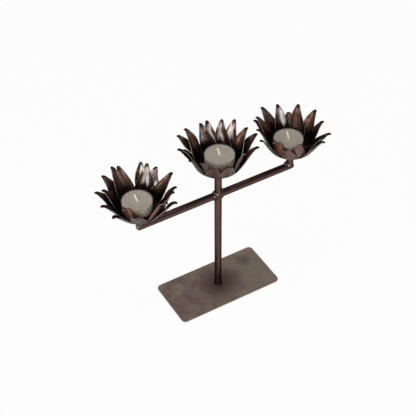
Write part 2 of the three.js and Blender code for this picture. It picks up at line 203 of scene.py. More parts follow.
class Net:
    """The nodes of one shader tree. An input given as a socket is linked, and any other is set."""

    def __init__(self, tree):
        self.tree = tree

    def put(self, value, socket):
        if isinstance(value, bpy.types.NodeSocket):
            self.tree.links.new(value, socket)
        elif socket.type == "RGBA":
            socket.default_value = (*value, 1)
        else:
            socket.default_value = value

    def add(self, kind, inputs=(), **settings):
        made = self.tree.nodes.new("ShaderNode" + kind)
        for name, value in settings.items():
            setattr(made, name, value)
        for name, value in dict(inputs).items():
            self.put(value, made.inputs[name])
        return made.outputs

    def use(self, group, **inputs):
        made = self.tree.nodes.new("ShaderNodeGroup")
        made.node_tree = group
        for name, value in inputs.items():
            self.put(value, made.inputs[name.capitalize()])
        return made.outputs

    def maths(self, operation, first, second):
        return self.add("Math", {0: first, 1: second}, operation=operation)[0]

    def times(self, *values):
        return reduce(lambda first, second: self.maths("MULTIPLY", first, second), values)

    def plus(self, *values):
        return reduce(lambda first, second: self.maths("ADD", first, second), values)

    def minus(self, first, second):
        return self.maths("SUBTRACT", first, second)

    def vector_maths(self, operation, first, second):
        return self.add("VectorMath", {0: first, 1: second}, operation=operation)

    def parts(self, vector):
        outputs = self.add("SeparateXYZ", {0: vector})
        return [outputs[axis] for axis in "XYZ"]

    def spread(self, value, low, high, to_low=0.0, to_high=1.0):
        """Maps a range of a value smoothly to another range."""
        inputs = {"Value": value, "From Min": low, "From Max": high, "To Min": to_low, "To Max": to_high}
        return self.add("MapRange", inputs, interpolation_type="SMOOTHSTEP")[0]

    def noise(self, place, size, detail=3.0, roughness=0.5):
        inputs = {"Vector": place, "Scale": self.maths("DIVIDE", 1.0, size), "Detail": detail,
                  "Roughness": roughness}
        return self.add("TexNoise", inputs)["Fac"]

    def blend(self, share, first, second, kind="MIX"):
        inputs = {0: share, 6: first, 7: second}
        return self.add("Mix", inputs, data_type="RGBA", blend_type=kind)[2]

    def coats(self, colour, *coats):
        """Lays (share, colour) coats over a colour, one after the other."""
        for share, coat in coats:
            colour = self.blend(share, colour, coat)
        return colour

    def steps(self, value, steps):
        ramp = self.tree.nodes.new("ShaderNodeValToRGB")
        self.put(value, ramp.inputs[0])
        elements = ramp.color_ramp.elements
        while len(elements) < len(steps):
            elements.new(0.5)
        for element, (place, colour) in zip(elements, steps):
            element.position = place
            element.color = (*colour, 1)
        return ramp.outputs[0]


def new_group(name, inputs, outputs):
    """A new shader group: its net, the values it is given, and where its results go."""
    tree = bpy.data.node_groups.new(name, "ShaderNodeTree")
    for label, kind, value in inputs:
        socket = tree.interface.new_socket(label, in_out="INPUT", socket_type="NodeSocket" + kind)
        if value is not None:
            socket.default_value = value
    for label, kind in outputs:
        tree.interface.new_socket(label, in_out="OUTPUT", socket_type="NodeSocket" + kind)
    ends = [tree.nodes.new("NodeGroup" + end) for end in ("Input", "Output")]
    return Net(tree), ends[0].outputs, ends[1].inputs


# -------------------- effects that finishes share


def blotches_group():
    """Soft patches, as uneven lacquer or mill scale leaves them."""
    net, given, result = new_group(
        "Blotches",
        [("Place", "Vector", None), ("Size", "Float", 10.0), ("Contrast", "Float", 0.5)],
        [("Mask", "Float")],
    )
    cloud = net.noise(given["Place"], given["Size"], detail=5.0, roughness=0.6)
    low = net.minus(0.5, given["Contrast"])
    high = net.plus(0.5, given["Contrast"])
    net.put(net.spread(cloud, low, high), result["Mask"])
    return net.tree


def drawn_grain_group():
    """Long fine streaks along the metal, from drawing and brushing."""
    net, given, result = new_group(
        "Drawn grain",
        [("Place", "Vector", None), ("Width", "Float", 0.8), ("Stretch", "Float", 14.0)],
        [("Mask", "Float"), ("Height", "Float")],
    )
    along = net.maths("DIVIDE", 1.0, given["Stretch"])
    squeeze = net.add("CombineXYZ", {0: 1.0, 1: 1.0, 2: along})[0]
    pulled = net.vector_maths("MULTIPLY", given["Place"], squeeze)[0]
    streaks = net.noise(pulled, given["Width"], detail=4.0, roughness=0.65)
    net.put(net.spread(streaks, 0.36, 0.66), result["Mask"])
    net.put(streaks, result["Height"])
    return net.tree


def edge_wear_group():
    """Where the coat has rubbed off along cut edges."""
    net, given, result = new_group(
        "Edge wear",
        [("Place", "Vector", None), ("Edge", "Float", 0.0), ("Amount", "Float", 0.6),
         ("Breaks", "Float", 6.0)],
        [("Mask", "Float")],
    )
    chips = net.noise(given["Place"], given["Breaks"])
    worn = net.plus(given["Edge"], net.minus(chips, 0.5))
    limit = net.minus(1.15, given["Amount"])
    net.put(net.spread(worn, limit, net.plus(limit, 0.35)), result["Mask"])
    return net.tree


def heat_tint_group():
    """Oxide colours round a weld: brown, then violet grey, then black scale at the hottest."""
    net, given, result = new_group(
        "Heat tint",
        [("Coat", "Color", None), ("Heat", "Float", 0.0), ("Place", "Vector", None),
         ("Strength", "Float", 0.8)],
        [("Coat", "Color")],
    )
    uneven = net.times(net.noise(given["Place"], 6.25), 0.3)
    shifted = net.minus(net.plus(given["Heat"], uneven), 0.15)
    oxide = net.steps(shifted, [
        (0.0, (0.16, 0.105, 0.08)), (0.3, (0.17, 0.10, 0.07)), (0.5, (0.12, 0.06, 0.05)),
        (0.7, (0.075, 0.055, 0.06)), (0.85, (0.045, 0.045, 0.038)), (1.0, (0.02, 0.018, 0.015)),
    ])
    reach = net.times(net.spread(shifted, 0.1, 0.6), given["Strength"])
    net.put(net.blend(reach, given["Coat"], oxide), result["Coat"])
    return net.tree


def dust_group():
    """Fine pale dust that has settled on what faces up."""
    net, given, result = new_group(
        "Dust",
        [("Place", "Vector", None), ("Amount", "Float", 0.3), ("Size", "Float", 1.2)],
        [("Mask", "Float")],
    )
    up = net.parts(net.add("NewGeometry")["Normal"])[2]
    specks = net.noise(given["Place"], given["Size"], detail=6.0, roughness=0.7)
    lying = net.times(net.spread(up, 0.2, 1.0), net.spread(specks, 0.45, 0.75), given["Amount"])
    net.put(lying, result["Mask"])
    return net.tree


BLOTCHES = blotches_group()
DRAWN_GRAIN = drawn_grain_group()
EDGE_WEAR = edge_wear_group()
HEAT_TINT = heat_tint_group()
DUST = dust_group()

# -------------------- finishes


class Finish(Net):
    """A material, with the shared effects laid on it."""

    def __init__(self, name):
        self.material = bpy.data.materials.new(name)
        self.material.use_nodes = True
        super().__init__(self.material.node_tree)
        self.shader = self.tree.nodes["Principled BSDF"]

    @cached_property
    def place(self):
        """Place on the piece, in millimetres."""
        return self.vector_maths("MULTIPLY", self.add("TexCoord")["Object"], (1 / MM,) * 3)[0]

    def mesh_value(self, name, part="Fac"):
        return self.add("Attribute", attribute_name=name)[part]

    def patches(self, size, contrast):
        return self.use(BLOTCHES, place=self.place, size=size, contrast=contrast)["Mask"]

    def grain(self, width, stretch):
        place = self.mesh_value("grain", "Vector")
        return self.use(DRAWN_GRAIN, place=place, width=width, stretch=stretch)

    def worn(self, amount, breaks):
        edge = self.mesh_value("edge")
        return self.use(EDGE_WEAR, place=self.place, edge=edge, amount=amount, breaks=breaks)["Mask"]

    def heated(self, coat, strength):
        heat = self.mesh_value("heat")
        return self.use(HEAT_TINT, coat=coat, heat=heat, place=self.place, strength=strength)["Coat"]

    def dust(self, amount, size):
        return self.use(DUST, place=self.place, amount=amount, size=size)["Mask"]

    def painted_slant_shade(self, coat, shade_colour, low, high):
        """Painted shade: darkens the colour where the surface is seen at a slant, standing in for the
        dark edges that dim surroundings give in reflection.
        """
        slant = self.add("LayerWeight", {"Blend": 0.5})["Facing"]
        return self.blend(self.spread(slant, low, high), coat, shade_colour)

    def bump(self, height, strength, depth):
        inputs = {"Height": height, "Strength": strength, "Distance": depth * MM}
        return self.add("Bump", inputs)[0]

    def made_of(self, inputs):
        """Sets the shader's inputs, and gives the material."""
        for name, value in inputs.items():
            self.put(value, self.shader.inputs[name])
        return self.material


def lacquered_bar():
    """Round bar under a thin red-brown lacquer."""
    net = Finish("lacquered_bar")
    grain = net.grain(width=0.9, stretch=18.0)
    patches = net.patches(size=14.0, contrast=0.22)
    coat = net.coats(
        (0.078, 0.034, 0.027),
        (patches, (0.122, 0.060, 0.048)),
        (net.times(grain["Mask"], 0.5), (0.19, 0.122, 0.106)),
    )
    coat = net.coats(
        net.heated(coat, strength=0.5),
        (net.worn(amount=0.55, breaks=2.5), (0.36, 0.25, 0.19)),
        (net.dust(amount=0.25, size=0.9), (0.30, 0.27, 0.24)),
    )
    return net.made_of({
        # Base colour darkened at a slant: painted shade along the bar's edges
        "Base Color": net.painted_slant_shade(coat, (0.016, 0.009, 0.008), 0.22, 0.72),
        "Metallic": 0.85,
        "Roughness": net.spread(patches, 0, 1, 0.22, 0.36),
        "Specular Tint": (0.15, 0.12, 0.11),
        "Coat Weight": 0.15,
        "Coat Roughness": 0.15,
        "Normal": net.bump(grain["Height"], strength=0.25, depth=0.12),
    })


def lacquered_plate():
    """Flat plate with mill scale showing through its thin brown lacquer."""
    net = Finish("lacquered_plate")
    broad = net.patches(size=46.0, contrast=0.2)
    fine = net.patches(size=7.0, contrast=0.2)
    clouds = net.patches(size=20.0, contrast=0.12)
    grain = net.grain(width=1.1, stretch=9.0)
    across = net.parts(net.place)[0]

    def stain_and_shadow(centre, ragged, radius, strength):
        """A round dark patch with a ragged edge, that fades out at its radius, for a stain and for
        painted shadow.
        """
        distance = net.vector_maths("DISTANCE", net.place, centre)["Value"]
        return net.spread(net.plus(distance, ragged), *radius, strength, 0.0)

    coat = net.coats(
        (0.345, 0.240, 0.208),
        (broad, (0.470, 0.375, 0.310)),
        (net.times(fine, 0.6), (0.250, 0.178, 0.146)),
        (net.times(grain["Mask"], 0.12), (0.36, 0.31, 0.27)),
        (net.spread(across, -20.0, 75.0, 0.0, 0.45), (0.540, 0.435, 0.330)),
        (net.times(clouds, net.spread(across, -30.0, 60.0, 0.75, 0.2)), (0.280, 0.178, 0.170)),
        (net.times(net.minus(1.0, clouds), 0.3), (0.500, 0.420, 0.290)),
        # Painted shadow of the post, laid with weld discolouration in a dark patch round its foot
        (stain_and_shadow((2.0, -2.0, 2.0), net.times(broad, 9.0), (9.0, 46.0), 0.85), (0.125, 0.068, 0.062)),
        (stain_and_shadow((52.0, 20.0, 2.0), net.times(fine, 5.0), (4.0, 18.0), 0.5), (0.070, 0.048, 0.050)),
    )
    coat = net.coats(
        net.heated(coat, strength=0.8),
        (net.worn(amount=0.5, breaks=5.0), (0.30, 0.25, 0.20)),
        (net.dust(amount=0.3, size=1.4), (0.30, 0.27, 0.23)),
    )
    heights = net.plus(fine, net.times(grain["Height"], 0.6))
    return net.made_of({
        "Base Color": coat,
        "Metallic": 0.55,
        "Roughness": net.spread(fine, 0, 1, 0.42, 0.58),
        "Specular Tint": (0.5, 0.45, 0.42),
        "Coat Weight": 0.1,
        "Coat Roughness": 0.35,
        "Normal": net.bump(heights, strength=0.3, depth=0.1),
    })


def weld_scale():
    """Weld bead with burnt lacquer over its ripples."""
    net = Finish("weld_scale")
    patches = net.patches(size=2.2, contrast=0.2)
    coat = net.coats(
        (0.060, 0.035, 0.028),
        (patches, (0.130, 0.074, 0.059)),
        (net.worn(amount=0.45, breaks=1.6), (0.22, 0.17, 0.15)),
    )
    return net.made_of({
        "Base Color": coat,
        "Metallic": 0.8,
        "Roughness": net.spread(patches, 0, 1, 0.55, 0.33),
        "Specular Tint": (0.4, 0.35, 0.33),
        "Normal": net.bump(patches, strength=0.35, depth=0.15),
    })


def bright_spatter():
    """Drops of weld metal that the lacquer did not cover, coloured near white: bare metal with a painted
    glint.
    """
    net = Finish("bright_spatter")
    patches = net.patches(size=0.7, contrast=0.2)
    return net.made_of({
        "Base Color": net.blend(patches, (0.62, 0.56, 0.50), (0.90, 0.86, 0.80)),
        "Metallic": 0.9,
        "Roughness": net.spread(patches, 0, 1, 0.35, 0.2),
    })


def petal_sheet():
    """Sheet steel, heated brown to black, with bare steel in streaks on some petals, painted near white
    as highlights.
    """
    net = Finish("petal_sheet")
    share, inside, bareness = net.parts(net.mesh_value("petal", "Vector"))
    across, shine_middle, tone = net.parts(net.mesh_value("crossing", "Vector"))
    grain = net.grain(width=0.8, stretch=40.0)
    broad_grain = net.grain(width=2.4, stretch=10.0)
    patches = net.patches(size=8.0, contrast=0.16)
    is_folded = net.spread(shine_middle, 0.9, 1.0)

    # From black at the bowl to copper-brown, and dark again at the curled tip, where the dark is painted
    # shade
    burnt_share = net.plus(share, net.times(net.minus(broad_grain["Mask"], 0.5), 0.14))
    brown = net.steps(burnt_share, [
        (0.0, (0.010, 0.008, 0.007)), (0.30, (0.016, 0.011, 0.009)), (0.44, (0.060, 0.028, 0.018)),
        (0.60, (0.160, 0.078, 0.048)), (0.80, (0.150, 0.080, 0.055)), (0.93, (0.040, 0.025, 0.020)),
    ])
    violet = net.steps(burnt_share, [
        (0.0, (0.010, 0.008, 0.008)), (0.32, (0.018, 0.012, 0.011)), (0.48, (0.060, 0.034, 0.030)),
        (0.66, (0.145, 0.070, 0.048)), (0.82, (0.120, 0.060, 0.044)), (0.93, (0.030, 0.020, 0.018)),
    ])
    within = net.coats(
        brown,
        (tone, violet),
        # Petals with next to no bare steel are darker brown inside: partly their colour, partly painted
        # shade
        (net.spread(bareness, 0.0, 0.1, 0.6, 0.0), (0.045, 0.024, 0.016)),
        (net.times(is_folded, net.spread(share, 0.6, 0.75)), (0.300, 0.130, 0.085)),
    )
    within = net.blend(net.times(patches, 0.6), within,
                       net.blend(1.0, within, (0.45, 0.38, 0.36), "MULTIPLY"))
    # Outside faces: painted shade, near black on most petals; the barer front petals are painted lighter
    # grey-pink and red-brown, partly their colour and partly painted light
    outside = net.coats(
        (0.030, 0.022, 0.020),
        (net.spread(bareness, 0.1, 0.75),
         net.blend(patches, (0.240, 0.152, 0.136), (0.205, 0.096, 0.073))),
        # Folded front petals: outside painted a lighter red-brown, painted light over their colour
        (is_folded, (0.250, 0.115, 0.080)),
    )

    # Painted highlights: near-white lengthwise streaks of bare steel, and a pale band below the tip
    off_middle = net.maths("ABSOLUTE", net.minus(across, shine_middle), 0.0)
    streaks = net.plus(net.times(broad_grain["Mask"], 0.35),
                       net.spread(grain["Mask"], 0.0, 1.0, 0.45, 0.9))
    painted_highlight = net.times(
        net.spread(burnt_share, 0.36, 0.58), net.spread(burnt_share, 0.80, 0.94, 1.0, 0.0),
        bareness, net.spread(off_middle, 0.1, 0.85, 1.0, 0.0), streaks,
    )
    painted_highlight = net.times(net.spread(painted_highlight, 0.1, 0.75), inside, net.spread(patches, 0.0, 0.8, 0.65, 1.0))
    # Painted highlight: a pale streaky band just below the curled tip
    painted_tip_highlight = net.times(
        net.spread(share, 0.70, 0.80), net.spread(share, 0.84, 0.93, 1.0, 0.0), inside,
        net.times(net.spread(grain["Mask"], 0.3, 0.9), net.spread(bareness, 0.1, 0.8, 0.2, 0.9)),
    )
    faint = net.times(grain["Mask"], net.spread(share, 0.4, 0.65, 0.0, 0.15))
    coat = net.coats(
        outside,
        (inside, within),
        # Painted highlight: near-white streaks
        (painted_highlight, (1.0, 0.98, 1.0)),
        (painted_tip_highlight, (0.95, 0.76, 0.66)),
        (faint, (0.36, 0.20, 0.14)),
        (net.worn(amount=0.75, breaks=4.0), (0.36, 0.28, 0.25)),
        (net.dust(amount=0.15, size=0.8), (0.28, 0.25, 0.22)),
    )
    rough = net.plus(net.spread(patches, 0, 1, 0.22, 0.34), net.times(grain["Mask"], 0.06),
                     net.times(painted_highlight, 0.12))
    heights = net.plus(net.times(grain["Height"], 0.35), broad_grain["Height"])
    return net.made_of({
        # Base colour darkened at a slant: painted shade along the petals' edges
        "Base Color": net.painted_slant_shade(coat, (0.020, 0.012, 0.010), 0.5, 0.95),
        "Metallic": net.spread(inside, 0.0, 1.0, 0.5, 0.9),
        "Roughness": rough,
        "Specular Tint": (0.2, 0.15, 0.14),
        "Coat Weight": 0.06,
        "Coat Roughness": 0.12,
        "Normal": net.bump(heights, strength=0.3, depth=0.15),
    })


def clear_cup():
    """Thin clear plastic with fine scuffs."""
    net = Finish("clear_cup")
    scuffs = net.grain(width=0.7, stretch=5.0)
    haze = net.plus(net.spread(scuffs["Mask"], 0, 1, 0.03, 0.07), net.dust(amount=0.1, size=0.7),
                    net.times(net.mesh_value("edge"), 0.12))
    return net.made_of({
        "Base Color": net.blend(scuffs["Mask"], (0.62, 0.60, 0.54), (0.78, 0.76, 0.70)),
        "Roughness": net.spread(scuffs["Mask"], 0, 1, 0.08, 0.2),
        "Alpha": haze,
        "Normal": net.bump(scuffs["Height"], strength=0.15, depth=0.05),
    })


def candle_wax():
    """Pressed ivory wax, a little cloudy, with faint crystals. Light comes through its wall, and its
    side is painted lighter and warmer than its top as painted light.
    """
    net = Finish("candle_wax")
    clouds = net.patches(size=7.0, contrast=0.28)
    crystals = net.patches(size=1.1, contrast=0.2)
    height = net.parts(net.mesh_value("grain", "Vector"))[2]
    body = net.coats(
        (0.560, 0.490, 0.415),
        (clouds, (0.640, 0.575, 0.495)),
        (net.times(crystals, 0.15), (0.66, 0.63, 0.57)),
        # Painted light: wax below the top painted lighter and warmer
        (net.spread(height, WAX_TOP - 2.6, WAX_TOP - 0.5, 0.9, 0.0), (1.0, 0.86, 0.70)),
        (net.dust(amount=0.2, size=0.8), (0.42, 0.40, 0.36)),
    )
    heights = net.plus(clouds, net.times(crystals, 0.4))
    return net.made_of({
        "Base Color": body,
        "Roughness": net.spread(clouds, 0, 1, 0.42, 0.58),
        "Subsurface Weight": 0.6,
        "Subsurface Radius": (1.0, 0.9, 0.75),
        "Subsurface Scale": 0.008,
        "Normal": net.bump(heights, strength=0.25, depth=0.1),
    })


def cotton_wick():
    """Braided cotton soaked in pale yellow wax, made to glow faintly as painted light."""
    net = Finish("cotton_wick")
    fibres = net.grain(width=0.12, stretch=8.0)
    soaked = net.patches(size=1.5, contrast=0.25)
    body = net.coats(
        (0.93, 0.84, 0.52),
        (fibres["Mask"], (1.0, 0.96, 0.72)),
        (net.times(soaked, 0.3), (1.0, 0.98, 0.84)),
    )
    return net.made_of({
        "Base Color": body,
        "Roughness": net.spread(soaked, 0, 1, 0.75, 0.5),
        # Painted light: the wick glows faintly in its own colour
        "Emission Color": body,
        "Emission Strength": 0.22,
        "Normal": net.bump(fibres["Height"], strength=0.6, depth=0.05),
    })


def tinned_tab():
    """Thin tinned steel that holds the wick."""
    net = Finish("tinned_tab")
    spangle = net.patches(size=1.4, contrast=0.18)
    return net.made_of({
        "Base Color": net.blend(spangle, (0.50, 0.50, 0.49), (0.68, 0.67, 0.65)),
        "Metallic": 1.0,
        "Roughness": net.spread(spangle, 0, 1, 0.25, 0.4),
        "Normal": net.bump(spangle, strength=0.2, depth=0.05),
    })


BAR = lacquered_bar()
PLATE = lacquered_plate()
WELD = weld_scale()
GLINTING_SPATTER = bright_spatter()
PETAL = petal_sheet()
CUP = clear_cup()
WAX = candle_wax()
COTTON = cotton_wick()
TINNED = tinned_tab()

# -------------------- mesh helpers


def add_piece(name, points, faces, material, body, replaced, slot, grain=None, edge=None,
              **vectors):
    """A smooth-shaded piece from points in millimetres, with the values its finish reads."""
    nearest = np.linalg.norm(points[:, None] - WELD_POINTS, axis=2).min(axis=1)
    floats = {
        "heat": np.exp(-np.maximum(0, nearest - HEAT_CORE) / HEAT_FADE),
        "edge": np.zeros(len(points)) if edge is None else edge,
    }
    vectors["grain"] = points if grain is None else grain
    mesh = bpy.data.meshes.new(name)
    mesh.from_pydata((points * MM).tolist(), [], faces)
    for label, values in floats.items():
        mesh.attributes.new(label, "FLOAT", "POINT").data.foreach_set("value", values)
    for label, values in vectors.items():
        flat = np.asarray(values, float).reshape(-1)
        mesh.attributes.new(label, "FLOAT_VECTOR", "POINT").data.foreach_set("vector", flat)
    shell = bmesh.new()
    shell.from_mesh(mesh)
    bmesh.ops.recalc_face_normals(shell, faces=shell.faces)
    shell.to_mesh(mesh)
    shell.free()
    mesh.shade_smooth()
    mesh.materials.append(material)
    piece = bpy.data.objects.new(name, mesh)
    bpy.context.scene.collection.objects.link(piece)
    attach(piece, body)
    if replaced:
        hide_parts(*replaced)


def loft(rings, closed=False):
    """Points and faces of a skin over rings of equal count, with its ends capped if open."""
    rings = np.asarray(rings, float)
    count, sides = rings.shape[:2]
    faces = []
    for i in range(count if closed else count - 1):
        low, high = i * sides, (i + 1) % count * sides
        for j in range(sides):
            k = (j + 1) % sides
            faces.append((low + j, low + k, high + k, high + j))
    if not closed:
        faces.append(tuple(range(sides))[::-1])
        faces.append(tuple(range((count - 1) * sides, count * sides)))
    return rings.reshape(-1, 3), faces


def turned(profile, sides, closed=False):
    """Points and faces of [radius, height] pairs turned round +Z. A radius of 0 is one point."""
    points, rows, faces = [], [], []
    for radius, height in profile:
        steps = 1 if radius == 0 else sides
        rows.append([len(points) + i for i in range(steps)])
        for i in range(steps):
            turn = 2 * math.pi * i / sides
            points.append((radius * math.cos(turn), radius * math.sin(turn), height))
    for low, high in zip(rows, rows[1:] + rows[:1] if closed else rows[1:]):
        for j in range(sides):
            k = (j + 1) % sides
            corners = (low[j % len(low)], low[k % len(low)], high[k % len(high)], high[j % len(high)])
            faces.append(tuple(dict.fromkeys(corners)))
    return np.array(points), [face for face in faces if len(face) > 2]


def circle_ring(centre, first, second, radius, sides):
    turns = np.linspace(0, 2 * math.pi, sides, endpoint=False)[:, None]
    return centre + radius * (np.cos(turns) * first + np.sin(turns) * second)


# -------------------- plate, bars and welds


def plate_outline():
    """Points round the plate's side, and the outward direction at each."""
    centre = PLATE_REACH[:2] - PLATE_CORNER
    corners = [centre * signs for signs in ((1, 1), (-1, 1), (-1, -1), (1, -1))]
    outline, outward = [], []
    for quadrant, corner in enumerate(corners):
        for share in np.linspace(0, 1, 11):
            turn = math.pi / 2 * (quadrant + share)
            direction = np.array((math.cos(turn), math.sin(turn)))
            outline.append(corner + PLATE_CORNER * direction)
            outward.append(direction)
        start, run = outline[-1], corners[(quadrant + 1) % 4] - corner
        for share in np.arange(1, 12) / 12:
            outline.append(start + run * share)
            outward.append(direction)
    return np.array(outline), np.array(outward)


def base_plate():
    """Plate with rolled edges and a top that is not quite flat."""
    outline, outward = plate_outline()
    sides = len(outline)
    top_inset = 0.9
    rings, edges = [], []

    def add_ring(flat, height, edge):
        rings.append(np.column_stack((flat, np.full(sides, height))))
        edges.append(np.full(sides, edge))

    # Inset, height and wear of the rings from the underside, round the side and onto the top
    for inset, height, edge in (
        (3.0, 0.0, 0.0), (PLATE_BEVEL, 0.0, 0.4), (0.1, 0.1, 1.0), (0.0, PLATE_BEVEL, 1.0),
        (0.0, PLATE_TOP - PLATE_BEVEL, 1.0), (0.1, PLATE_TOP - 0.1, 1.0),
        (PLATE_BEVEL, PLATE_TOP, 0.7), (top_inset, PLATE_TOP, 0.1),
    ):
        add_ring(outline - outward * inset, height, edge)
    for share in np.linspace(0.96, 0.04, 25):
        add_ring((outline - outward * top_inset) * share, PLATE_TOP, 0.0)
        fade = smooth(1 - share, 0.0, 0.15)
        rings[-1][:, 2] += PLATE_UNEVENNESS * ripple(rings[-1], 28.0) * fade
    points, faces = loft(rings)
    count = len(points)
    points = np.vstack((points, (0, 0, 0), (0, 0, PLATE_TOP)))
    edges.append(np.zeros(2))

    # Fans of triangles to the two middle points close the underside and the top
    faces = faces[:-2] + [(count, (j + 1) % sides, j) for j in range(sides)]
    faces += [(count + 1, count - sides + j, count - sides + (j + 1) % sides) for j in range(sides)]
    add_piece("base_plate_sheet", points, faces, PLATE, "stand", ["base_plate"], "lacquered_plate",
              grain=points[:, [1, 2, 0]], edge=np.concatenate(edges))


def end_rounding(radius):
    """Distances from a bar's end, and how far its surface drops there below the full radius."""
    return [(radius * (1 - math.sin(turn)), radius * (1 - math.cos(turn)))
            for turn in np.linspace(0, math.pi / 2, 8)[::-1]]


def bar_piece(name, start, end, node, end_round=0.3):
    """Round bar between two points, with rounded ends and the faint unevenness of drawn stock."""
    start_round, plain_gap, spacing, sides = 0.3, 2, 2.5, 48
    start, end = np.array(start, float), np.array(end, float)
    length = np.linalg.norm(end - start)
    axis = (end - start) / length
    first = np.cross(axis, (0, 1, 0))
    second = np.cross(axis, first)
    plain = np.arange(start_round + plain_gap, length - end_round - plain_gap, spacing)
    stations = end_rounding(start_round) + [(along, 0.0) for along in plain]
    stations += [(length - along, drop) for along, drop in end_rounding(end_round)[::-1]]
    rings, edges, grains = [], [], []
    for along, drop in stations:
        ring = circle_ring(start + axis * along, first, second, BAR_RADIUS - drop, sides)
        around = ring - start - axis * along
        swell = BAR_UNEVENNESS * ripple(ring, 7.0, seed=1.0)
        rings.append(ring + around / BAR_RADIUS * swell[:, None])
        edges.append(np.full(sides, min(1.0, drop * 0.9)))
        grains.append(np.column_stack((around @ first, around @ second, np.full(sides, along))))
    points, faces = loft(rings)
    add_piece(name, points, faces, BAR, "stand", [node], "lacquered_bar",
              grain=np.concatenate(grains), edge=np.concatenate(edges))


def bead_skin(centres, frames, radii, sides=12, closed=False):
    """Skin over circles of varying radius, with the most wear where it is fullest."""
    rings = [circle_ring(centre, first, second, radius, sides)
             for centre, (first, second), radius in zip(centres, frames, radii)]
    wear = np.repeat(radii / max(radii), sides) ** 4
    return *loft(rings, closed), wear


def rippled(turn, seed):
    """Fullness along a bead, which was laid in eight ripples for each half turn."""
    return 0.9 + 0.1 * np.abs(np.sin(turn * 8 + seed))


def add_bead(node, points, faces, wear):
    add_piece(f"{node}_bead", points, faces, WELD, "stand", [node], "weld_bead", edge=wear)


def corner_bead(node, x, side, up, seed, fullness):
    """Weld bead in the saddle between the crossbar and an upright, on the side given and up or down."""
    share = np.linspace(0, 1, 46)
    turn = math.pi / 2 + CORNER_BEAD_SWEEP * (2 * share - 1)
    reach = BAR_RADIUS * np.sin(turn)
    centres = np.column_stack((x + side * reach, BAR_RADIUS * np.cos(turn),
                               CROSSBAR_HEIGHT + up * reach))
    tangents = np.gradient(centres, axis=0)
    tangents /= np.linalg.norm(tangents, axis=1)[:, None]
    out = np.array((side, 0, up)) / math.sqrt(2)
    frames = [(out, np.cross(tangent, out)) for tangent in tangents]
    taper = np.sin(math.pi * np.clip(share, 0.02, 0.98)) ** 0.3
    radii = CORNER_BEAD_RADIUS * fullness * rippled(share * math.pi, seed) * taper
    radii *= 1 + 0.08 * ripple(centres, 3.0, seed)
    points, faces, wear = bead_skin(centres, frames, radii)
    add_bead(node, points, faces, wear * 0.7)


def ring_bead(node, centre, leg, up, seed):
    """Rippled ring of weld in the corner between a bar and a flat face."""
    turn = np.linspace(0, 2 * math.pi, 72, endpoint=False)
    outward = np.column_stack((np.cos(turn), np.sin(turn), np.zeros(len(turn))))
    rise = np.array((0.0, 0.0, up))
    centres = np.array(centre) + outward * (BAR_RADIUS + leg * 0.3) + rise * leg * 0.25
    radii = leg * 0.72 * rippled(turn, seed) * (1 + 0.12 * ripple(centres, 3.5, seed))
    frames = [(out, rise) for out in outward]
    points, faces, wear = bead_skin(centres, frames, radii, closed=True)
    keep_clear = np.maximum if up > 0 else np.minimum
    points[:, 2] = keep_clear(points[:, 2], centre[2])
    add_bead(node, points, faces, wear * 0.6)


def plug_weld(side):
    """Low dome of weld in the hole at the middle of a flower."""
    top = SHEET_PITCH + SHEET
    radius = HUB_HOLE_RADIUS - 0.15
    profile = [(0, 0.05), (radius * 0.8, 0.05), (radius, 0.3), (radius, top - 0.15)]
    profile += [(radius * math.cos(a), top - 0.1 + 0.35 * math.sin(a))
                for a in np.linspace(0.25, 1.4, 6)]
    profile.append((0, top + 0.25))
    points, faces = turned(profile, 36)
    add_piece(f"{side}_plug_weld_dome", points + FLOWER_PLACES[side], faces, WELD, "stand",
              [f"{side}_plug_weld"], "weld_bead")


def spatter_drop(name, centre, normal, size):
    """A flattened drop of weld metal on the side of a bar."""
    flatness = 0.55
    dome = [(math.cos(a), flatness * math.sin(a)) for a in np.linspace(-0.5, 1.35, 7)]
    points, faces = turned([(0, -0.3), *dome, (0, flatness)], 16)
    turn = np.array(Vector(normal).normalized().to_track_quat("Z", "Y").to_matrix())
    points = (points * size) @ turn.T + np.array(centre)
    add_piece(name, points, faces, GLINTING_SPATTER, "stand", [], "weld_bead")


# -------------------- flowers


def petal_half_width(share, radius, petal_count):
    """Half the width of a petal, which its neighbours limit near the hub."""
    room = 2 * radius * math.sin(math.pi / petal_count) - ROOT_SLIT
    taper = np.maximum(0, share - PETAL_WIDEST) / (1 - PETAL_WIDEST)
    leaf = PETAL_TIP_WIDTH + (PETAL_WIDTH - PETAL_TIP_WIDTH) * np.cos(taper * math.pi / 2)
    round_start, round_end = 0.965, 1.0002
    rounding = np.maximum(0, share - round_start) / (round_end - round_start)
    rounded_tip = np.sqrt(1 - rounding ** 2)
    return np.minimum(room, leaf * rounded_tip) / 2


def petal_line(along, whorl, petal):
    """Radius, height and slope of a petal's middle: flat hub, bend, straight and curled tip."""
    lean, bend_radius, curl_radius = math.radians(petal.lean), whorl.bend_radius, petal.curl_radius
    straight_end = petal.length - curl_radius * TIP_CURL_TURN
    bend = np.minimum(along / bend_radius, lean)
    straight = np.clip(along, bend_radius * lean, straight_end) - bend_radius * lean
    curl = np.maximum(0, along - straight_end) / curl_radius
    radius = (whorl.hub_radius + bend_radius * np.sin(bend) + straight * math.cos(lean)
              + curl_radius * (math.sin(lean) - np.sin(lean - curl)))
    height = (bend_radius * (1 - np.cos(bend)) + straight * math.sin(lean)
              + curl_radius * (np.cos(lean - curl) - math.cos(lean)))
    return radius, height, bend - curl


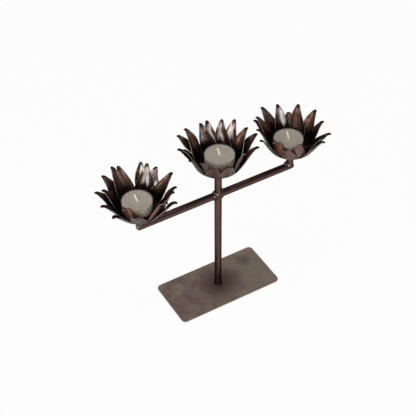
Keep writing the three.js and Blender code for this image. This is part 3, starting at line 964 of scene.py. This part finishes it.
def petal_points(along, across, whorl, root_turn, petal_count, petal):
    """Points of a petal's middle surface; across runs from -1 to 1."""
    share = along / petal.length
    radius, height, slope = petal_line(along, whorl, petal)
    swing = root_turn + (petal.tip_turn - root_turn) * smooth(share, 0.1, 0.75)
    turn = np.radians(swing)
    sideways = across * petal_half_width(share, radius, petal_count)
    roundness = radius - np.sqrt(radius ** 2 - sideways ** 2)
    channelling = smooth(share, 0.2, 0.6) * (1 - smooth(share, 0.7, 1))
    channel = CHANNEL_DEPTH * across ** 2 * channelling
    outward = radius - roundness - channel * np.sin(slope)
    return np.stack((
        outward * np.cos(turn) - sideways * np.sin(turn),
        outward * np.sin(turn) + sideways * np.cos(turn),
        whorl.middle_height + height + channel * np.cos(slope),
    ), axis=-1)


# Places across a petal, closer together at its rims
PETAL_COLUMNS = np.array((-1, -0.94, -0.78, -0.55, -0.28, 0, 0.28, 0.55, 0.78, 0.94, 1.0))


def petal_stations(whorl, petal):
    """Distances along a petal, closer together in its bend and its curl."""
    bend_end = whorl.bend_radius * math.radians(petal.lean)
    curl_start = petal.length - petal.curl_radius * TIP_CURL_TURN
    return np.concatenate((
        np.linspace(0, bend_end, 9)[:-1],
        np.linspace(bend_end, curl_start, 11)[:-1],
        np.linspace(curl_start, petal.length, 10),
    ))


def petal_grid(whorl, root_turn, petal_count, petal, seed):
    """Points and normals over one petal with its soft dents, and where they lie on it."""
    along, across = np.meshgrid(petal_stations(whorl, petal), PETAL_COLUMNS, indexing="ij")

    def surface(a, b):
        return petal_points(a, b, whorl, root_turn, petal_count, petal)

    step = 0.02
    before = np.clip(along - step, 0, None)
    after = np.clip(along + step, None, petal.length - 1e-4)
    lengthwise = surface(after, across * 0.999) - surface(before, across * 0.999)
    off_tip = np.minimum(along, petal.length - 0.05)
    crosswise = surface(off_tip, across + step) - surface(off_tip, across - step)
    normal = np.cross(lengthwise, crosswise)
    normal /= np.linalg.norm(normal, axis=-1, keepdims=True)
    normal[0] = (0, 0, 1)
    place = surface(along, across)
    waves = ripple(place.reshape(-1, 3), DENT_SIZE, seed).reshape(along.shape)
    dents = DENT_DEPTH * waves * smooth(along / petal.length, 0.3, 0.6)
    return along, across, place + normal * dents[..., None], normal


def petal_whorl(side, layer):
    """One blank of the flower: hub with a hole, and petals bent up all round it."""
    whorl = WHORLS[layer]
    first_root, rows = FLOWERS[side][layer]
    petals = [Petal(*row) for row in rows]
    seed = 3.0 * SIDES.index(side) + (0.5 if layer == "inner" else 0.0)
    columns = len(PETAL_COLUMNS)
    points, normals, grains, measures, crossings, quads, rim = [], [], [], [], [], [], []
    for k, petal in enumerate(petals):
        root_turn = first_root + 360 / len(petals) * k
        along, across, place, normal = petal_grid(whorl, root_turn, len(petals), petal, seed + k)
        share = along / petal.length
        even = np.ones_like(share)
        sideways = across * petal_half_width(share, whorl.hub_radius + along, len(petals))
        is_folded = petal.curl_radius > TIP_CURL_RADIUS
        shine_middle = 1.0 if is_folded else 0.35 * math.sin(5.3 * k + seed)
        tone = 0.5 + 0.5 * math.sin(2.9 * k + 2 * seed)
        own_streaks = 31.0 * k + 7 * seed
        start = len(points)
        points.extend(place.reshape(-1, 3))
        normals.extend(normal.reshape(-1, 3))
        for values, parts in (
            (grains, (sideways, own_streaks * even, along)),
            (measures, (share, even, petal.bareness * even)),
            (crossings, (across, shine_middle * even, tone * even)),
        ):
            values.extend(np.stack(parts, -1).reshape(-1, 3))
        for i in range(len(along) - 1):
            for j in range(columns - 1):
                a = start + i * columns + j
                quads.append((a, a + columns, a + columns + 1, a + 1))
        rim.extend(range(start, start + columns))

    # The hub, from the petals' roots in to its hole
    last = rim
    for scale in (0.85, 0.65, 0.45, 0.28, HUB_HOLE_RADIUS / whorl.hub_radius):
        row = list(range(len(points), len(points) + len(rim)))
        for i in rim:
            x, y, z = points[i]
            points.append(np.array((x * scale, y * scale, z)))
            normals.append(np.array((0.0, 0.0, 1.0)))
            grains.append((x * scale, 5.0 + seed, y * scale))
            measures.append((0.0, 1.0, 0.0))
            crossings.append((0.0, 0.0, 0.5))
        for i in range(len(rim)):
            j = (i + 1) % len(rim)
            quads.append((row[i], last[i], last[j], row[j]))
        last = row
    add_sheet(side, layer, *map(np.array, (points, normals, grains, measures, crossings)), quads)


def add_sheet(side, layer, points, normals, grains, measures, crossings, quads):
    """Gives a middle surface its thickness, with a rounded rim, and adds it as a piece."""
    count, tiny = len(points), 1e-9

    # An edge that only one quad has is on the rim
    loose = {}
    for quad in quads:
        for a, b in zip(quad, quad[1:] + quad[:1]):
            if not loose.pop((b, a), False):
                loose[(a, b)] = True
    outward = np.zeros((count, 3))
    for a, b in loose:
        direction = np.cross(points[b] - points[a], (normals[a] + normals[b]) / 2)
        size = np.linalg.norm(direction)
        if size > tiny:
            outward[a] += direction / size
            outward[b] += direction / size
    on_rim = sorted({i for pair in loose for i in pair})
    rim_index = {i: 2 * count + n for n, i in enumerate(on_rim)}
    push = outward[on_rim]
    push /= np.maximum(np.linalg.norm(push, axis=1, keepdims=True), tiny)
    upper, lower = points + normals * SHEET / 2, points - normals * SHEET / 2
    every = np.concatenate((upper, lower, points[on_rim] + RIM_BULGE * push))
    faces = quads + [tuple(i + count for i in quad[::-1]) for quad in quads]
    for a, b in loose:
        faces.append((b, a, rim_index[a], rim_index[b]))
        faces.append((rim_index[b], rim_index[a], a + count, b + count))

    # The second measure is 1 on the inside of a petal and 0 outside, which has streaks of its own
    measures = np.concatenate((measures, measures, measures[on_rim]))
    measures[count:2 * count, 1] = 0
    measures[2 * count:, 1] = 0.5
    edge = np.zeros(len(every))
    edge[2 * count:] = 1
    edge[on_rim] = edge[np.array(on_rim) + count] = 0.55
    add_piece(f"{side}_{layer}_petal_whorl", every + FLOWER_PLACES[side], faces, PETAL, "stand",
              [f"{side}_{layer}_petals"], "petal_sheet", edge=edge, petal=measures,
              grain=np.concatenate((grains, grains + OUTSIDE_STREAKS, grains[on_rim])),
              crossing=np.concatenate((crossings, crossings, crossings[on_rim])))


# -------------------- tealights


def foot_round(radius, floor):
    """Profile of the sloping round between a cup's floor and its wall."""
    return [(radius - CUP_FOOT_INSET * (1 - math.sin(t)), floor + CUP_FOOT_RISE * (1 - math.cos(t)))
            for t in np.linspace(0, math.pi / 2, 6)]


def candle_piece(side, part, points, faces, material, slot, node, **values):
    add_piece(f"{side}_{part}", points + CANDLE_PLACES[side], faces, material, f"{side}_candle",
              [f"{side}_{node}"], slot, **values)


def candle_cup(side):
    """Thin clear cup with a small rolled lip."""
    bore = CUP_RADIUS - CUP_WALL

    # Radius, and depth below the cup's top
    lip = [(CUP_RADIUS, 3), (CUP_RADIUS, 1), (CUP_RADIUS + 0.18, 0.65), (CUP_RADIUS + 0.22, 0.35),
           (CUP_RADIUS + 0.1, 0.08), (CUP_RADIUS - 0.2, 0), (bore + 0.1, 0.1), (bore, 0.4), (bore, 3)]
    profile = [(0, 0), *foot_round(CUP_RADIUS, 0)]
    profile += [(radius, CUP_HEIGHT - depth) for radius, depth in lip]
    profile += [*foot_round(bore, CUP_WALL)[::-1], (0, CUP_WALL)]
    points, faces = turned(profile, 96)
    turn = np.arctan2(points[:, 1], points[:, 0])
    grain = np.column_stack((points[:, 2], np.cos(turn) * CUP_RADIUS, np.sin(turn) * CUP_RADIUS))
    candle_piece(side, "tealight_cup", points, faces, CUP, "clear_cup", "candle_cup", grain=grain,
                 edge=smooth(points[:, 2], CUP_HEIGHT - 0.8, CUP_HEIGHT - 0.3))


def candle_body(side):
    """Wax with a shallow dish, a raised collar where the wick leaves it, and a soft top edge."""
    radius = CUP_RADIUS - CUP_WALL - WAX_GAP
    floor = CUP_WALL + WAX_GAP
    hole = 1.0
    dish = WAX_TOP - 0.3
    pocket = TAB_RADIUS + WAX_GAP
    profile = [(hole, TAB_TOP + WAX_GAP), (pocket, TAB_TOP + WAX_GAP), (pocket, floor),
               *foot_round(radius, floor), (radius, 8.0), (radius, WAX_TOP - 0.45),
               (radius - 0.12, WAX_TOP - 0.14), (radius - 0.45, WAX_TOP), (radius - 1.2, WAX_TOP - 0.08)]
    profile += [(r, dish + 0.22 * smooth(r, 11.0, 17.5)) for r in (16, 14, 12, 10, 7.5, 5, 3.5)]
    profile += [(2.4, dish + 0.08), (1.7, dish + 0.3), (1.25, dish + 0.55), (hole, dish + 0.5)]
    points, faces = turned(profile, 96, closed=True)
    topside = smooth(points[:, 2], WAX_TOP - 1.4, WAX_TOP - 0.6)
    points[:, 2] += 0.07 * topside * ripple(points, 6.0, SIDES.index(side) + 1.0)
    candle_piece(side, "tealight_wax", points, faces, WAX, "wax", "wax", grain=points)


def candle_wick(side):
    """Three strands twisted together, standing straight in the wax and leaning above it."""
    sides = 9
    lean_turn = math.radians(WICK_TURNS[side])
    lean = np.array((math.cos(lean_turn), math.sin(lean_turn), 0.0))
    share = np.linspace(0, 1, 90)
    foot = TAB_TOP + 0.05
    height = foot + (WICK_TOP - foot) * share
    above = np.maximum(0, height - WAX_TOP) / (WICK_TOP - WAX_TOP)
    middle = lean * (WICK_TIP_SHIFT * above ** 1.3)[:, None]
    middle[:, 2] = height
    radii = STRAND_RADIUS * np.sqrt(np.clip(1.02 - np.maximum(0, share - 0.97) / 0.03, 0.05, 1))
    frames = [((1, 0, 0), (0, 1, 0))] * len(share)
    points, faces, grains = [], [], []
    for strand in range(3):
        twist = 2 * math.pi * (height / WICK_TWIST + strand / 3)
        round_middle = np.column_stack((np.cos(twist), np.sin(twist), 0 * twist))
        skin, quads, _ = bead_skin(middle + STRAND_OFFSET * round_middle, frames, radii, sides)
        faces += [tuple(i + len(points) for i in face) for face in quads]
        points.extend(skin)
        around = np.tile(np.arange(sides), len(share)) * 0.3
        grains.extend(np.column_stack((around, np.full(len(skin), 9.0 * strand), skin[:, 2])))
    candle_piece(side, "tealight_wick", np.array(points), faces, COTTON, "cotton_wick", "wick",
                 grain=grains)


def wick_tab(side):
    """Pressed disc with a raised collar round the wick."""
    low = CUP_WALL + 0.05
    shoulder = TAB_RADIUS - 0.2
    profile = [(0, low), (shoulder, low), (TAB_RADIUS, low + 0.12), (TAB_RADIUS, low + 0.3),
               (shoulder, low + 0.42), (2.4, low + 0.42), (1.9, TAB_TOP), (0, TAB_TOP)]
    points, faces = turned(profile, 48)
    candle_piece(side, "tealight_wick_tab", points, faces, TINNED, "tinned_tab", "wick_tab")


# -------------------- assembly

base_plate()
post_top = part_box("post")[1].z / MM
bar_piece("post_bar", (0, 0, PLATE_TOP - 1.2), (0, 0, post_top), "post")
for side, sign in (("left", -1), ("right", 1)):
    arm_low, arm_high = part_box(f"{side}_arm")
    arm_end = (arm_low if sign < 0 else arm_high).x / MM
    riser_x, _, flower_height = FLOWER_PLACES[side]
    bar_piece(f"{side}_arm_bar", (0, 0, CROSSBAR_HEIGHT), (arm_end, 0, CROSSBAR_HEIGHT),
              f"{side}_arm", end_round=ARM_END_ROUND)
    bar_piece(f"{side}_riser_bar", (riser_x, 0, CROSSBAR_HEIGHT), (riser_x, 0, flower_height - 0.05),
              f"{side}_riser")
    corner_bead(f"{side}_riser_weld", riser_x, -sign, 1, 1.0 + sign, fullness=1.85)
    corner_bead(f"{side}_arm_upper_weld", 0, sign, 1, 4.0 + sign, fullness=1.4)
    corner_bead(f"{side}_arm_lower_weld", 0, sign, -1, 7.0 + sign, fullness=1.4)
ring_bead("post_foot_weld", (0, 0, PLATE_TOP), FOOT_WELD_LEG, 1, 2.0)
for drop in SPATTER_DROPS:
    spatter_drop(*drop)

for number, side in enumerate(SIDES):
    ring_bead(f"{side}_flower_weld", FLOWER_PLACES[side], FLOWER_WELD_LEG, -1, 5.0 + number)
    plug_weld(side)
    for layer in WHORLS:
        petal_whorl(side, layer)
    candle_cup(side)
    candle_body(side)
    candle_wick(side)
    wick_tab(side)

# -------------------- floor, light and camera

# Metres from here on: name, place, width, height and radiance
SOFTBOXES = [
    ("front_softbox", (-0.95, -1.25, 1.35), 1.1, 0.7, 3.0),
    ("low_softbox", (-0.6, -1.75, 0.5), 1.7, 0.5, 1.5),
    ("left_softbox", (-1.55, -0.15, 0.9), 0.7, 1.0, 2.8),
    ("right_softbox", (1.45, -0.55, 1.0), 0.5, 0.9, 1.6),
    ("top_softbox", (0.1, 0.1, 1.9), 1.0, 1.0, 1.6),
]
LIT_POINT = Vector((0, 0, 0.2))


def studio_floor():
    """Pale floor that keeps the shadow, and is white to the camera and in reflections."""
    reach = 9.0
    just_below = -0.0002
    net = Finish("studio_floor")
    material = net.made_of({"Base Color": (0.88,) * 3, "Roughness": 0.9, "Specular IOR Level": 0.1})
    path = net.add("LightPath")
    seen = net.maths("MAXIMUM", path["Is Camera Ray"], path["Is Glossy Ray"])
    seen = net.maths("MAXIMUM", seen, path["Is Transmission Ray"])
    white = net.add("Emission", {"Color": (1, 1, 1), "Strength": 1.0})[0]
    mixed = net.add("MixShader", {0: net.times(seen, 0.96), 1: net.shader.outputs[0], 2: white})[0]
    net.put(mixed, net.tree.nodes["Material Output"].inputs["Surface"])
    mesh = bpy.data.meshes.new("studio_floor")
    signs = ((-1, -1), (1, -1), (1, 1), (-1, 1))
    mesh.from_pydata([(x * reach, y * reach, just_below) for x, y in signs], [], [(0, 1, 2, 3)])
    mesh.materials.append(material)
    floor = bpy.data.objects.new("studio_floor", mesh)
    bpy.context.scene.collection.objects.link(floor)


def studio_world():
    """Pale near the horizon and greyer overhead; white where the camera looks past the floor."""
    world = bpy.data.worlds.new("studio")
    world.use_nodes = True
    net = Net(world.node_tree)
    height = net.parts(net.add("TexCoord")["Generated"])[2]
    sky = net.steps(height, [(0.0, (0.55,) * 3), (0.25, (0.3,) * 3), (0.7, (0.15,) * 3)])
    painted_highlight = net.blend(net.add("LightPath")["Is Camera Ray"], sky, (1, 1, 1))
    net.put(painted_highlight, net.tree.nodes["Background"].inputs["Color"])
    bpy.context.scene.world = world


def softbox(name, place, width, height, radiance):
    """Rectangular lamp of an even brightness that faces the object."""
    lamp = bpy.data.lights.new(name, "AREA")
    lamp.shape = "RECTANGLE"
    lamp.size, lamp.size_y = width, height
    lamp.energy = radiance * math.pi * width * height
    made = bpy.data.objects.new(name, lamp)
    made.location = place
    made.rotation_euler = (Vector(place) - LIT_POINT).to_track_quat("Z", "Y").to_euler()
    made.visible_camera = False
    bpy.context.scene.collection.objects.link(made)


def photo_camera():
    """Camera at the photograph's angle: where it stands, and the axes of its picture."""
    azimuth, elevation, roll = map(math.radians, (-30.416, 43.293, -0.428))
    distance, shift_right, shift_up = 1.535915, -0.012829, 0.103108
    lens_pixels, picture_pixels = 1132.187, 416
    back = Vector((math.sin(azimuth) * math.cos(elevation),
                   -math.cos(azimuth) * math.cos(elevation), math.sin(elevation)))
    level = Vector((math.cos(azimuth), math.sin(azimuth), 0))
    up = back.cross(level)
    place = back * distance + level * shift_right + up * shift_up
    turned_right = level * math.cos(roll) + up * math.sin(roll)
    turned_up = up * math.cos(roll) - level * math.sin(roll)
    camera = bpy.data.cameras.new("photo_camera")
    camera.sensor_width = 36
    camera.lens = camera.sensor_width * lens_pixels / picture_pixels
    made = bpy.data.objects.new("photo_camera", camera)
    axes = Matrix((turned_right, turned_up, back)).transposed().to_4x4()
    made.matrix_world = Matrix.Translation(place) @ axes
    bpy.context.scene.collection.objects.link(made)
    bpy.context.scene.camera = made


studio_floor()
studio_world()
for lamp in SOFTBOXES:
    softbox(*lamp)
photo_camera()
bpy.context.scene.view_settings.view_transform = "Standard"
